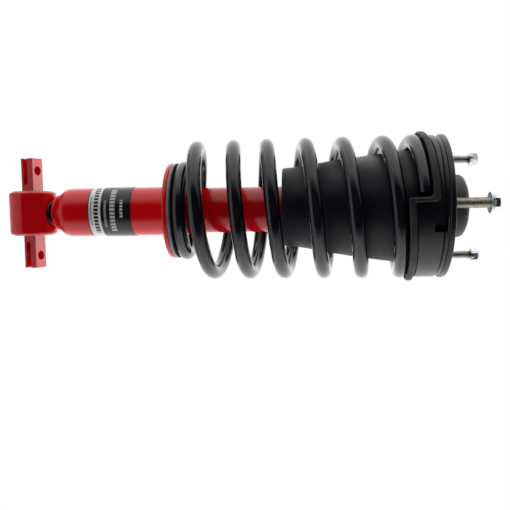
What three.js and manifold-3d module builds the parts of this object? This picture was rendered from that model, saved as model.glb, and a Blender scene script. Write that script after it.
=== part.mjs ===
// A coil-over strut assembly: damper, coil spring, top mount and bar-pin lower eye.
// Millimetres. +Z runs up the strut's axis to the body studs, and z = 0 is the face of the
// top mount that seats against the vehicle, so everything but the studs and dome is below it.
// The bar pin lies along X.
import * as THREE from "three";
import { mergeVertices } from "three/addons/utils/BufferGeometryUtils.js";
import Module from "manifold-3d";

const wasm = await Module();
wasm.setup();

// ---- driving dimensions ------------------------------------------------------------------
const CLEAR = 0.3; // gap kept between two pieces that touch
const SIDES = 28; // facets round a visible turned piece
const INNER_SIDES = 14; // facets round a hidden one

const eyeZ = -510; // centre of the lower eye
const eyeRadius = 28.8;
const eyeLength = 53.4;
const barPinLength = 138;
const barPinSquare = 18; // section of its two flat ends
const barPinTilt = (18 * Math.PI) / 180; // how far the bolt holes lean from Z
const barPinBoltSpacing = 107;
const barPinBoltHole = 11.5;
const barPinSlot = 6.4;
const barPinSlotDepth = 14; // from the front face, so a thin web closes its back
const barPinSlotOffset = -2.8; // the slot sits nearer the face that the nut clips over

const lowerTubeRadius = 30.3;
const upperTubeRadius = 27.9;
const tubeWall = 2.4;
const baseCapBottom = -474.5;
const tubeBottom = -456;
const tubeTop = -176;
const seatBottom = -331.5; // underside of the lower spring seat
const seatThickness = 5.5;
const seatRadius = 59;

const pressureTubeRadius = 21;
const pressureTubeBore = 19;
const rodRadius = 9;
const rodStudRadius = 6; // both threaded ends of the rod
const rodShoulderZ = -20; // where the rod's upper thread begins
const pistonZ = -222; // middle of the piston with the strut hanging at full length

const springWire = 17.5;
const springMeanRadius = 77.9;
const pigtailMeanRadius = 52.4;
const springFirstLevel = -0.35; // turns, where the pigtail's cut end is (0 lies at -X)
const springLastTurn = 7.22;

const plateRadius = 86;
const plateThickness = 6.6;
const rampStepAngle = -97; // degrees round Z, where the helical seat steps back up
const rampHighZ = -15.6; // height of the seat's edge on the high side of its step
const rampPerTurn = 27;
const housingRadius = 85.2;
const housingBore = 69.1;
const isolatorLipRadius = 90;
const isolatorLipDepth = 9;
const isolatorThickness = 6.7; // over the coil, which beds in the lip

const studCircleRadius = 69.2;
const studClocking = -92.9; // degrees, the front stud
const bootBottom = -191.5;

// ---- tools -------------------------------------------------------------------------------
const radians = (degrees) => (degrees * Math.PI) / 180;

// A solid or ring of revolution about Z from [radius, z] points, in either order.
function turned(outline, sides = SIDES) {
  const points = outline.map(([r, z]) => new THREE.Vector2(r, z));
  const onAxis = outline[0][0] === 0 && outline.at(-1)[0] === 0;
  if (THREE.ShapeUtils.area(points) < 0) points.reverse();
  if (!onAxis) points.push(points[0].clone());
  return new THREE.LatheGeometry(points, sides).rotateX(Math.PI / 2);
}

// A plain ring between two radii and two heights.
const ring = (inner, outer, low, high, sides = SIDES) =>
  turned([[inner, low], [outer, low], [outer, high], [inner, high]], sides);

// A ring with its two outer edges chamfered.
const chamferedRing = (inner, outer, low, high, chamfer, sides = SIDES) =>
  turned(
    [
      [inner, low],
      [outer - chamfer, low],
      [outer, low + chamfer],
      [outer, high - chamfer],
      [outer - chamfer, high],
      [inner, high],
    ],
    sides,
  );

// Points along a round corner, from one angle to another (degrees, 0 outwards and 90 up).
function roundCorner(r, z, radius, from, to, steps = 4) {
  return Array.from({ length: steps + 1 }, (_, i) => {
    const a = radians(from + ((to - from) * i) / steps);
    return [r + radius * Math.cos(a), z + radius * Math.sin(a)];
  });
}

function toSolid(geometry) {
  const bare = geometry.clone();
  bare.deleteAttribute("normal");
  bare.deleteAttribute("uv");
  const merged = mergeVertices(bare, 1e-3);
  return new wasm.Manifold(
    new wasm.Mesh({
      numProp: 3,
      vertProperties: merged.attributes.position.array,
      triVerts: new Uint32Array(merged.index.array),
    }),
  );
}

function toGeometry(solid) {
  const mesh = solid.getMesh();
  const geometry = new THREE.BufferGeometry();
  geometry.setAttribute("position", new THREE.BufferAttribute(mesh.vertProperties, 3));
  geometry.setIndex(new THREE.BufferAttribute(mesh.triVerts, 1));
  geometry.computeVertexNormals();
  return geometry;
}

const cut = (body, ...tools) =>
  toGeometry(tools.reduce((left, tool) => left.subtract(toSolid(tool)), toSolid(body)));
const join = (body, ...others) =>
  toGeometry(others.reduce((all, other) => all.add(toSolid(other)), toSolid(body)));
const common = (body, other) => toGeometry(toSolid(body).intersect(toSolid(other)));

// A cylinder or cone along Z standing on z = low.
function bar(radius, low, high, sides = INNER_SIDES, topRadius = radius) {
  return new THREE.CylinderGeometry(topRadius, radius, high - low, sides)
    .rotateX(Math.PI / 2)
    .translate(0, 0, (low + high) / 2);
}

const alongX = (geometry) => geometry.rotateY(Math.PI / 2);

const hexagon = (acrossFlats, low, high) => bar(acrossFlats / Math.sqrt(3), low, high, 6);

// ---- finishes ----------------------------------------------------------------------------
const finish = (color, roughness, metalness) => () =>
  new THREE.MeshStandardMaterial({ color, roughness, metalness });
const redPaint = finish(0xb40612, 0.22, 0.1);
const blackPaint = finish(0x15171a, 0.35, 0.2);
const springCoat = finish(0x1b1e24, 0.3, 0.3);
const rubber = finish(0x17181a, 0.8, 0);
const foam = finish(0x3a3833, 0.9, 0);
const zinc = finish(0xc3cbd4, 0.3, 0.9);
const yellowZinc = finish(0xa39a78, 0.4, 0.9);
const steel = finish(0x9a9da1, 0.35, 0.95);
const chromedRod = finish(0xd5d9dd, 0.12, 1);
const bronze = finish(0x9a7b4a, 0.5, 0.5);
const greyPlastic = finish(0x8d9096, 0.5, 0.1);
const labelFilm = finish(0xd9dbde, 0.4, 0);

const strut = new THREE.Group();
function add(name, geometry, material) {
  const mesh = new THREE.Mesh(geometry, material());
  mesh.name = name;
  strut.add(mesh);
  return mesh;
}

// ---- lower eye and bar pin ---------------------------------------------------------------
const lowerEnd = new THREE.Group();
lowerEnd.position.z = eyeZ;
strut.add(lowerEnd);
function addToEye(name, geometry, material) {
  lowerEnd.add(add(name, geometry, material));
}

const eyeBore = 24.6;
const eyeRound = 3;
const sleeveBore = 22.6;
const barPinNeck = 11.4;
addToEye(
  "eye_ring",
  alongX(
    turned([
      [eyeBore, -eyeLength / 2],
      ...roundCorner(eyeRadius - eyeRound, -eyeLength / 2 + eyeRound, eyeRound, -90, 0),
      ...roundCorner(eyeRadius - eyeRound, eyeLength / 2 - eyeRound, eyeRound, 0, 90),
      [eyeBore, eyeLength / 2],
    ]),
  ),
  redPaint,
);
addToEye(
  "bushing_sleeve",
  alongX(ring(sleeveBore, eyeBore - CLEAR, -eyeLength / 2 - 1, eyeLength / 2 + 1)),
  steel,
);
const bushingHalf = 26.2;
const bushingDish = 4;
addToEye(
  "bushing_rubber",
  alongX(
    turned([
      [barPinNeck + CLEAR, -bushingHalf],
      [(barPinNeck + sleeveBore) / 2, -bushingHalf + bushingDish],
      [sleeveBore - CLEAR, -bushingHalf],
      [sleeveBore - CLEAR, bushingHalf],
      [(barPinNeck + sleeveBore) / 2, bushingHalf - bushingDish],
      [barPinNeck + CLEAR, bushingHalf],
    ]),
  ),
  rubber,
);

// The bar pin is forged: a round neck in the rubber, and a square end each side, slotted from
// its tip and its front for a captive nut, and drilled down to the slot for a mounting bolt.
const barPinFlatLength = 39;
function barPin() {
  const flatMiddle = (barPinLength - barPinFlatLength) / 2;
  const pieces = [];
  const tools = [];
  for (const side of [-1, 1]) {
    const flat = new THREE.BoxGeometry(barPinFlatLength, barPinSquare, barPinSquare);
    pieces.push(flat.translate(side * flatMiddle, 0, 0));
    const hole = bar(barPinBoltHole / 2, barPinSlotOffset, barPinSquare, 20);
    tools.push(hole.translate((side * barPinBoltSpacing) / 2, 0, 0));
    const slotLength = 30;
    const slotMiddle = side * (barPinLength / 2 - slotLength / 2 + 1);
    const slotY = barPinSlotDepth - barPinSquare; // the middle of a cutter twice that deep
    const slot = new THREE.BoxGeometry(slotLength + 2, barPinSquare, barPinSlot);
    tools.push(slot.translate(slotMiddle, slotY, barPinSlotOffset));
    const slotEnd = new THREE.CylinderGeometry(barPinSlot / 2, barPinSlot / 2, barPinSquare, 12);
    const endX = side * (barPinLength / 2 - slotLength);
    tools.push(slotEnd.translate(endX, slotY, barPinSlotOffset));
  }
  const neckHalf = barPinLength / 2 - barPinFlatLength + 4;
  const neck = alongX(bar(barPinNeck, -neckHalf, neckHalf, SIDES));
  return cut(join(neck, ...pieces), ...tools).rotateX(barPinTilt);
}
addToEye("bar_pin", barPin(), redPaint);

// ---- tube, base and lower spring seat ----------------------------------------------------
const eyeClearance = alongX(
  bar(eyeRadius + CLEAR, -eyeLength, eyeLength, SIDES),
).translate(0, 0, eyeZ);
// The neck, with the weld bead that runs round its foot on the base cap.
add(
  "eye_weld_neck",
  cut(
    turned([
      [0, eyeZ + 20],
      [19, eyeZ + 20],
      [15.5, eyeZ + 25.5],
      [15, eyeZ + 28],
      [17.5, baseCapBottom - 5],
      [21.5, baseCapBottom - 3.6],
      [22.8, baseCapBottom - 2],
      [22.2, baseCapBottom - CLEAR],
      [0, baseCapBottom - CLEAR],
    ]),
    eyeClearance,
  ),
  redPaint,
);

// The base cap is a deep-drawn cup, rounded at its edge and open to the tube.
add(
  "tube_base_cap",
  turned([
    [0, baseCapBottom],
    [22.5, baseCapBottom],
    [24.5, -473],
    [27.3, -470.7],
    [28.4, -466.5],
    [29.3, -461.7],
    [lowerTubeRadius - 0.2, tubeBottom - CLEAR],
    [lowerTubeRadius - tubeWall, tubeBottom - CLEAR],
    [26.6, -464],
    [24.4, -469],
    [21, -471.5],
    [0, -471.5],
  ]),
  redPaint,
);
const stepBottom = seatBottom - 8;
const stepTop = seatBottom - CLEAR;
add(
  "outer_tube",
  turned([
    [lowerTubeRadius - tubeWall, tubeBottom],
    [lowerTubeRadius, tubeBottom],
    [lowerTubeRadius, stepBottom],
    [lowerTubeRadius, stepTop],
    [upperTubeRadius, stepTop],
    [upperTubeRadius, tubeTop],
    [upperTubeRadius - tubeWall, tubeTop],
    [upperTubeRadius - tubeWall, stepBottom + 3],
    [lowerTubeRadius - tubeWall, stepBottom],
  ]),
  redPaint,
);

const seatTop = seatBottom + seatThickness;
const seatHubRadius = 32;
add(
  "lower_spring_seat",
  turned([
    [upperTubeRadius + CLEAR, seatBottom],
    [seatRadius - 1.5, seatBottom],
    [seatRadius, seatBottom + 1.5],
    [seatRadius, seatTop - 1.5],
    [seatRadius - 1.5, seatTop],
    [seatHubRadius + 2, seatTop],
    [seatHubRadius, seatTop + 3],
    [seatHubRadius, seatTop + 13],
    [upperTubeRadius + CLEAR, seatTop + 15],
  ]),
  redPaint,
);
add(
  "seat_weld_bead",
  turned([
    [lowerTubeRadius + CLEAR, stepTop - 4.5],
    [lowerTubeRadius + 2.2, stepTop - 3.6],
    [lowerTubeRadius + 4.4, stepTop],
    [lowerTubeRadius + CLEAR, stepTop],
  ]),
  redPaint,
);
const shimTop = seatTop + 3.6;
const padTop = shimTop + 1.5;
add("seat_shim_ring", ring(seatHubRadius + 3, seatRadius - 1, seatTop + CLEAR, shimTop), greyPlastic);
add(
  "lower_spring_isolator",
  chamferedRing(seatHubRadius + 4, seatRadius - 0.4, shimTop + CLEAR, padTop, 0.4),
  rubber,
);
add(
  "label_band",
  ring(lowerTubeRadius + CLEAR, lowerTubeRadius + 0.7, -429, -376),
  labelFilm,
);

// ---- damper internals --------------------------------------------------------------------
const pressureTubeBottom = -446;
const guideBottom = -194;
add(
  "pressure_tube",
  ring(pressureTubeBore, pressureTubeRadius, pressureTubeBottom, guideBottom - CLEAR, INNER_SIDES),
  steel,
);
const valveBolt = 4;
const valveSkirtBottom = -466;
add(
  "base_valve_body",
  turned(
    [
      [valveBolt + CLEAR, -455],
      [15, -455],
      [17, valveSkirtBottom],
      [19.5, valveSkirtBottom],
      [20.5, -455],
      [20.5, pressureTubeBottom - CLEAR],
      [18.4, pressureTubeBottom - CLEAR],
      [18.4, pressureTubeBottom + 3],
      [valveBolt + CLEAR, pressureTubeBottom + 3],
    ],
    INNER_SIDES,
  ),
  steel,
);
const valveDiscBottom = pressureTubeBottom + 3 + CLEAR;
add(
  "base_valve_discs",
  turned(
    [
      [valveBolt + CLEAR, valveDiscBottom],
      [15, valveDiscBottom],
      [15, valveDiscBottom + 0.8],
      [11, valveDiscBottom + 0.8],
      [11, valveDiscBottom + 1.8],
      [valveBolt + CLEAR, valveDiscBottom + 1.8],
    ],
    INNER_SIDES,
  ),
  steel,
);
add(
  "base_valve_rivet",
  turned(
    [
      [0, -458],
      [7, -458],
      [7, -455 - CLEAR],
      [valveBolt, -455 - CLEAR],
      [valveBolt, valveDiscBottom + 1.8 + CLEAR],
      [6.5, valveDiscBottom + 1.8 + CLEAR],
      [5, valveDiscBottom + 4.5],
      [0, valveDiscBottom + 4.5],
    ],
    INNER_SIDES,
  ),
  steel,
);

const pistonHalf = 8;
const pistonTop = pistonZ + pistonHalf;
const pistonBottom = pistonZ - pistonHalf;
const rodLandZ = pistonTop + 3.4;
const rodTop = 22.5;
add(
  "piston_rod",
  turned(
    [
      [0, pistonBottom - 14],
      [rodStudRadius - 1, pistonBottom - 14],
      [rodStudRadius, pistonBottom - 13],
      [rodStudRadius, rodLandZ],
      [rodRadius, rodLandZ],
      [rodRadius, rodShoulderZ],
      [rodStudRadius, rodShoulderZ],
      [rodStudRadius, rodTop - 1],
      [rodStudRadius - 1, rodTop],
      [0, rodTop],
    ],
    INNER_SIDES,
  ),
  chromedRod,
);
const pistonRadius = pressureTubeBore - 0.5;
const pistonBand = pistonRadius - 1.6;
function piston() {
  const body = turned(
    [
      [rodStudRadius + CLEAR, pistonBottom],
      [pistonRadius, pistonBottom],
      [pistonRadius, pistonZ - 4],
      [pistonBand, pistonZ - 4],
      [pistonBand, pistonZ + 4],
      [pistonRadius, pistonZ + 4],
      [pistonRadius, pistonTop],
      [rodStudRadius + CLEAR, pistonTop],
    ],
    INNER_SIDES,
  );
  const ports = Array.from({ length: 6 }, (_, i) => {
    const angle = (i * Math.PI) / 3;
    const port = bar(1.7, pistonBottom - 1, pistonTop + 1, 8);
    return port.translate(13 * Math.cos(angle), 13 * Math.sin(angle), 0);
  });
  return cut(body, ...ports);
}
add("piston", piston(), steel);
add(
  "piston_band",
  ring(pistonBand + CLEAR, pistonRadius + 0.15, pistonZ - 4 + CLEAR, pistonZ + 4 - CLEAR, INNER_SIDES),
  bronze,
);
// Each valve stack is a cone of thin discs, drawn here as one stepped body.
const stackHeight = 2.8;
function valveStack(from, direction) {
  const outline = [[rodStudRadius + CLEAR, from]];
  [16, 13.5, 11].forEach((radius, i) => {
    outline.push([radius, from + (direction * stackHeight * i) / 3]);
    outline.push([radius, from + (direction * stackHeight * (i + 1)) / 3]);
  });
  outline.push([rodStudRadius + CLEAR, from + direction * stackHeight]);
  return turned(outline, INNER_SIDES);
}
add("compression_discs", valveStack(pistonTop + CLEAR, 1), steel);
add("rebound_discs", valveStack(pistonBottom - CLEAR, -1), steel);
const pistonNutTop = pistonBottom - stackHeight - 2 * CLEAR;
add(
  "piston_nut",
  cut(
    hexagon(17, pistonNutTop - 7.5, pistonNutTop),
    bar(rodStudRadius + CLEAR, pistonNutTop - 9, pistonNutTop + 1, INNER_SIDES),
  ),
  steel,
);
add(
  "rebound_stop",
  chamferedRing(rodRadius + CLEAR, 15, guideBottom - 14, guideBottom - 6.6, 2, INNER_SIDES),
  rubber,
);
const guideBore = 11.2;
const guideTop = tubeTop - 4;
const guideRadius = upperTubeRadius - tubeWall - CLEAR;
add(
  "rod_guide",
  turned(
    [
      [guideBore, guideBottom - 6],
      [16.5, guideBottom - 6],
      [18.6, guideBottom - 3],
      [18.6, guideBottom],
      [guideRadius, guideBottom],
      [guideRadius, guideTop],
      [guideBore, guideTop],
    ],
    INNER_SIDES,
  ),
  steel,
);
add(
  "guide_bushing",
  ring(rodRadius + CLEAR, guideBore - CLEAR, guideBottom - 5, guideTop - 1, INNER_SIDES),
  bronze,
);
add(
  "rod_seal",
  turned(
    [
      [rodRadius + CLEAR, guideTop + CLEAR],
      [guideRadius, guideTop + CLEAR],
      [guideRadius, tubeTop - CLEAR],
      [14, tubeTop - CLEAR],
      [rodRadius + CLEAR, tubeTop + 1.5],
    ],
    INNER_SIDES,
  ),
  rubber,
);
const strikeCapTop = tubeTop + 7;
add(
  "strike_cap",
  turned([
    [upperTubeRadius + CLEAR, tubeTop - 12],
    [upperTubeRadius + 2.3, tubeTop - 12],
    [upperTubeRadius + 2.3, strikeCapTop - 2],
    [upperTubeRadius + 0.3, strikeCapTop],
    [rodRadius + 3, strikeCapTop],
    [rodRadius + 3, strikeCapTop - 2.5],
    [upperTubeRadius - 1.5, strikeCapTop - 2.5],
    [upperTubeRadius - 1.5, tubeTop + CLEAR],
    [upperTubeRadius + CLEAR, tubeTop + CLEAR],
  ]),
  steel,
);

// ---- coil spring -------------------------------------------------------------------------
// The edge of the helical upper seat, by the turns run from its step.
const stepTurn = 7 + (180 + rampStepAngle) / 360;
const rampEdge = (turnsBelowStep) => rampHighZ - rampPerTurn * turnsBelowStep;

const springRestZ = padTop + springWire / 2 + CLEAR;
const liftTurn = 0.62; // where the coil leaves the lower seat
const firstFullTurn = 1;
const seatedTurn = 6.45;
// Heights of the wire's centre at each half turn from the first full one, up to the last that
// hangs free and two beyond it. The pitch isn't even.
const coilHeights = [
  -295.8, -276.2, -251.6, -232, -211.1, -189, -164.4, -141.1, -120.2, -95.7, -72.3, -49.1, -27, -5,
];
const coilRise = new THREE.SplineCurve(coilHeights.map((z, i) => new THREE.Vector2(i, z)));
const liftSlope = 38; // millimetres a turn, at the first full turn
class SpringPath extends THREE.Curve {
  getPoint(t, target = new THREE.Vector3()) {
    const turn = THREE.MathUtils.lerp(springFirstLevel, springLastTurn, t);
    const opening = THREE.MathUtils.smoothstep(turn, 0.35, 1.05);
    const radius = THREE.MathUtils.lerp(pigtailMeanRadius, springMeanRadius, opening);
    const angle = Math.PI + turn * 2 * Math.PI;
    return target.set(radius * Math.cos(angle), radius * Math.sin(angle), springHeight(turn));
  }
}
// Height of the wire's centre: flat on the lower seat, then winding up, then along the
// helical seat above.
function springHeight(turn) {
  if (turn < liftTurn) return springRestZ;
  if (turn < firstFullTurn) {
    const run = firstFullTurn - liftTurn;
    const t = (turn - liftTurn) / run;
    const rise = (coilHeights[0] - springRestZ) * (3 * t ** 2 - 2 * t ** 3);
    return springRestZ + rise + liftSlope * run * (t ** 3 - t ** 2);
  }
  const free = coilRise.getPoint((2 * (turn - firstFullTurn)) / (coilHeights.length - 1)).y;
  const seated = rampEdge(stepTurn - turn) - isolatorThickness - springWire / 2 - CLEAR;
  return turn > seatedTurn ? Math.min(free, seated) : free;
}
const wireSection = new THREE.Shape().absarc(0, 0, springWire / 2, 0, 2 * Math.PI);
const springTurns = springLastTurn - springFirstLevel;
add(
  "coil_spring",
  new THREE.ExtrudeGeometry(wireSection, {
    steps: Math.round(springTurns * 18),
    curveSegments: 4,
    extrudePath: new SpringPath(),
  }),
  springCoat,
);

// ---- top mount ---------------------------------------------------------------------------
const studs = [
  { name: "front", angle: studClocking, thread: 12, nutTop: 48.6, nutHeight: 10, flange: 24.4, flats: 17 },
  { name: "left", angle: studClocking + 120, thread: 10, nutTop: 50.6, nutHeight: 10.8, flange: 20, flats: 15 },
  { name: "right", angle: studClocking + 240, thread: 10, nutTop: 50.4, nutHeight: 11.4, flange: 20, flats: 15 },
];
const studHeadThickness = 3;
const studHeadExtra = 3; // head radius less thread radius
function atStud(geometry, stud) {
  const angle = radians(stud.angle);
  return geometry.translate(
    studCircleRadius * Math.cos(angle),
    studCircleRadius * Math.sin(angle),
    0,
  );
}
const mountBore = 17;
const coverRecessRadius = 43; // the plate is dished here, so nothing overhangs its seating face
const coverRecess = 1.2;
const recessFloor = -coverRecess + CLEAR;
function mountPlate() {
  const edge = 2.2;
  const body = turned([
    [mountBore, -plateThickness],
    ...roundCorner(plateRadius - edge, -plateThickness + edge, edge, -90, 0, 3),
    ...roundCorner(plateRadius - edge, -edge, edge, 0, 90, 3),
    [coverRecessRadius, 0],
    [coverRecessRadius, -coverRecess],
    [mountBore, -coverRecess],
  ]);
  const holes = studs.flatMap((stud) => {
    const thread = stud.thread / 2;
    const headTop = -plateThickness + studHeadThickness + CLEAR;
    return [
      atStud(bar(thread + CLEAR, -plateThickness - 1, 1, 16), stud),
      atStud(bar(thread + studHeadExtra + CLEAR, -plateThickness - 1, headTop, 16), stud),
    ];
  });
  return cut(body, ...holes);
}
add("mount_plate", mountPlate(), blackPaint);

for (const stud of studs) {
  const thread = stud.thread / 2;
  const head = thread + studHeadExtra;
  const headTop = -plateThickness + studHeadThickness;
  const top = stud.nutTop - 1.5;
  add(
    "stud_" + stud.name,
    atStud(
      turned(
        [
          [0, -plateThickness],
          [head, -plateThickness],
          [head, headTop],
          [thread, headTop],
          [thread, top - 1.2],
          [thread - 1.2, top],
          [0, top],
        ],
        16,
      ),
      stud,
    ),
    yellowZinc,
  );
  const nutBottom = stud.nutTop - stud.nutHeight;
  const flangeTop = nutBottom + 2.2;
  const flange = turned(
    [
      [0, nutBottom],
      [stud.flange / 2, nutBottom],
      [stud.flange / 2, flangeTop - 0.8],
      [stud.flats / 2, flangeTop + 1.4],
      [0, flangeTop + 1.4],
    ],
    18,
  );
  const chamfer = bar(stud.flats / 2 + 3.2, nutBottom, stud.nutTop, 18, stud.flats / 2);
  const block = common(hexagon(stud.flats, nutBottom, stud.nutTop), chamfer);
  const hole = bar(thread + CLEAR, nutBottom - 1, stud.nutTop + 1, 16);
  add("nut_" + stud.name, atStud(cut(join(flange, block), hole), stud), zinc);
}

// A band round Z, swept from its section: a function from the turns run down from the step
// to a loop of [radius, z] points. A whole turn closes across the step, and a shorter band is
// capped at both ends.
const stepWidth = 0.003; // of a turn
function helicalBand(section, from = 0, to = 1 - stepWidth, sides = 45) {
  const wholeTurn = to - from >= 1 - stepWidth;
  const positions = [];
  const index = [];
  const corners = section(0).length;
  for (let i = 0; i <= sides; i++) {
    const turns = THREE.MathUtils.lerp(from, to, i / sides);
    const angle = radians(rampStepAngle) - turns * 2 * Math.PI;
    for (const [radius, z] of section(turns))
      positions.push(radius * Math.cos(angle), radius * Math.sin(angle), z);
  }
  for (let i = 0; i < (wholeTurn ? sides + 1 : sides); i++) {
    const next = (i + 1) % (sides + 1);
    for (let k = 0; k < corners; k++) {
      const [a, b] = [corners * i + k, corners * i + ((k + 1) % corners)];
      const [c, d] = [corners * next + ((k + 1) % corners), corners * next + k];
      index.push(a, b, c, a, c, d);
    }
  }
  if (!wholeTurn) {
    const loop = section(0).map(([radius, z]) => new THREE.Vector2(radius, z));
    const last = corners * sides;
    for (const [a, b, c] of THREE.ShapeUtils.triangulateShape(loop, []))
      index.push(a, c, b, last + a, last + b, last + c);
  }
  const geometry = new THREE.BufferGeometry();
  geometry.setAttribute("position", new THREE.Float32BufferAttribute(positions, 3));
  geometry.setIndex(index);
  return geometry;
}

// The wall's edge stands a little above the pad's lip. Above it the wall turns in to the plate.
const wallEdge = (turns) => rampEdge(turns) + 1;
const wallCove = 2.7;
function springSeatHousing() {
  const wall = helicalBand((turns) => [
    [housingBore, wallEdge(turns)],
    [housingRadius, wallEdge(turns)],
    [housingRadius, -13.5],
    [housingRadius - wallCove, -11],
    [housingRadius - wallCove, -plateThickness - CLEAR],
    [housingBore, -plateThickness - CLEAR],
  ]);
  const windowAngle = radians(-76.5);
  const window = new THREE.BoxGeometry(8, 17, 14.8).rotateZ(windowAngle);
  window.translate(housingRadius * Math.cos(windowAngle), housingRadius * Math.sin(windowAngle), -15.4);
  return cut(toGeometry(toSolid(wall)), window);
}
add("spring_seat_housing", springSeatHousing(), blackPaint);
const isolatorBodyRadius = 84;
const isolatorLipBore = springMeanRadius + springWire / 2 + 2 * CLEAR;
add(
  "upper_spring_isolator",
  helicalBand(
    (turns) => [
      [housingBore, rampEdge(turns) - isolatorThickness],
      [isolatorLipBore, rampEdge(turns) - isolatorThickness],
      [isolatorLipBore, rampEdge(turns) - isolatorLipDepth],
      [isolatorLipRadius, rampEdge(turns) - isolatorLipDepth],
      [isolatorLipRadius, rampEdge(turns) - 1.5],
      [isolatorBodyRadius, rampEdge(turns) - 1.5],
      [isolatorBodyRadius, wallEdge(turns) - CLEAR],
      [housingBore, wallEdge(turns) - CLEAR],
    ],
    2 * stepWidth,
    1 - 3 * stepWidth,
  ),
  rubber,
);

const coverRadius = 37.7;
const coverHeight = 26.5;
const coverWall = 2.2;
const coverShoulder = 8;
add(
  "mount_cover",
  turned([
    [coverRadius - 3, recessFloor],
    [coverRadius, recessFloor],
    [coverRadius, coverHeight - coverShoulder - 3],
    ...roundCorner(coverRadius - coverShoulder, coverHeight - coverShoulder, coverShoulder, 10, 90, 4),
    [0, coverHeight],
    [0, coverHeight - coverWall],
    [coverRadius - coverShoulder, coverHeight - coverWall],
    [coverRadius - coverWall - 2, coverHeight - coverShoulder],
    [coverRadius - 3, coverHeight - coverShoulder - 3],
  ]),
  rubber,
);

const washerRadius = 27;
const washerThickness = 3;
const bushingLow = rodShoulderZ + washerThickness + CLEAR;
const bushingHigh = 10;
add(
  "lower_washer",
  ring(rodStudRadius + CLEAR, washerRadius, rodShoulderZ + CLEAR, rodShoulderZ + washerThickness),
  steel,
);
const sleeveRadius = 9.5;
add(
  "mount_sleeve",
  ring(rodStudRadius + CLEAR, sleeveRadius, bushingLow, bushingHigh, INNER_SIDES),
  steel,
);
add(
  "lower_mount_bushing",
  chamferedRing(sleeveRadius + CLEAR, washerRadius, bushingLow, -plateThickness - CLEAR, 2),
  rubber,
);
add(
  "upper_mount_bushing",
  turned([
    [sleeveRadius + CLEAR, -plateThickness + 1],
    [mountBore - CLEAR, -plateThickness + 1],
    [mountBore - CLEAR, recessFloor],
    [washerRadius, recessFloor],
    [washerRadius - 1.5, bushingHigh - CLEAR],
    [sleeveRadius + CLEAR, bushingHigh - CLEAR],
  ]),
  rubber,
);
add(
  "upper_washer",
  ring(rodStudRadius + CLEAR, washerRadius - 2, bushingHigh + CLEAR, bushingHigh + washerThickness),
  steel,
);
const rodNutLow = bushingHigh + washerThickness + CLEAR;
add(
  "rod_nut",
  cut(
    hexagon(18, rodNutLow, rodNutLow + 7.5),
    bar(rodStudRadius + CLEAR, rodNutLow - 1, rodNutLow + 9),
  ),
  zinc,
);

// ---- bump stop and dust boot -------------------------------------------------------------
const bumperTop = rodShoulderZ - 12;
const bumperLength = 64;
const bumperWaist = 20;
add(
  "bumper_cup",
  turned([
    [rodRadius + CLEAR, bumperTop + CLEAR],
    [27, bumperTop + CLEAR],
    [27, bumperTop - 10],
    [29, bumperTop - 10],
    [29, bumperTop + 2.5],
    [12, bumperTop + 2.5],
    [12, rodShoulderZ],
    [rodRadius + CLEAR, rodShoulderZ],
  ]),
  steel,
);
// Microcellular bump stop: three soft rolls and a tapered nose.
function bumperOutline() {
  const outline = [[rodRadius + 1.5, bumperTop]];
  const rolls = 3;
  const rollLength = 17;
  for (let i = 0; i < rolls; i++) {
    const top = bumperTop - i * rollLength;
    outline.push([bumperWaist, top]);
    outline.push([bumperWaist + 5, top - rollLength * 0.3]);
    outline.push([bumperWaist + 5, top - rollLength * 0.7]);
  }
  outline.push([bumperWaist - 1, bumperTop - rolls * rollLength]);
  outline.push([bumperWaist - 5, bumperTop - bumperLength]);
  outline.push([rodRadius + 1.5, bumperTop - bumperLength]);
  return outline;
}
add("jounce_bumper", turned(bumperOutline(), INNER_SIDES), foam);

const bootWall = 2.2;
const bootOutline = [
  [48.2, bootBottom],
  [48.2, bootBottom + 4],
  [49.2, -172],
  [55.2, -138],
  [61.2, -98],
  [65, -70],
  [67.3, -54],
  [68.4, -44],
  [68.4, -plateThickness - CLEAR],
];
add(
  "dust_boot",
  turned([...bootOutline, ...bootOutline.map(([r, z]) => [r - bootWall, z]).reverse()]),
  rubber,
);

export default strut;
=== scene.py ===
# The looks of a coil-over strut: a red damper with a bar-pin eye below, a black coil spring
# round it, and a studded top mount. Sizes are in millimetres, as on a drawing, and MM turns
# them into metres. +Z runs up the strut, and the bar pin lies along X.
import math
import bpy
from mathutils import Matrix, Vector, noise


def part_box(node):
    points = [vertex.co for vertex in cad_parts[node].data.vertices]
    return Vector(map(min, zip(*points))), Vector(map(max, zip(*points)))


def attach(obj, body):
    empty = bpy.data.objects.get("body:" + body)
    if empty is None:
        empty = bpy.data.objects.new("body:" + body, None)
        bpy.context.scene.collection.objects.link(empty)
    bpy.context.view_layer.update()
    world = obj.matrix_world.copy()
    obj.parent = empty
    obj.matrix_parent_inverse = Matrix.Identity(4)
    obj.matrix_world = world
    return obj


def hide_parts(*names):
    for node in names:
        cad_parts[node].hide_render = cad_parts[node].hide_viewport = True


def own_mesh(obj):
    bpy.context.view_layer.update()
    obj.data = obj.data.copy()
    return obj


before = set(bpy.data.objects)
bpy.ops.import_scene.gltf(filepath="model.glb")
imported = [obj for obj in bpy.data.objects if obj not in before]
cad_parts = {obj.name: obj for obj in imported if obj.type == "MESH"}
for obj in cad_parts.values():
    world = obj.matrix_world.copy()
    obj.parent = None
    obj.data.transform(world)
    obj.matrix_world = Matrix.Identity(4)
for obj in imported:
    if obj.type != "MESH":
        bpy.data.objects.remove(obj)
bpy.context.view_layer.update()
MM = 0.001

# --- Studio -------------------------------------------------------------------------------
# The strut hangs on its side to the camera, in a white tent with one dark slot behind the
# camera, as long as the strut. The tent's white gives the paint its long bright bands, and
# the slot the deep one between them. The pale floor lies well below.
scene = bpy.context.scene
scene.view_settings.view_transform = "Standard"

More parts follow.
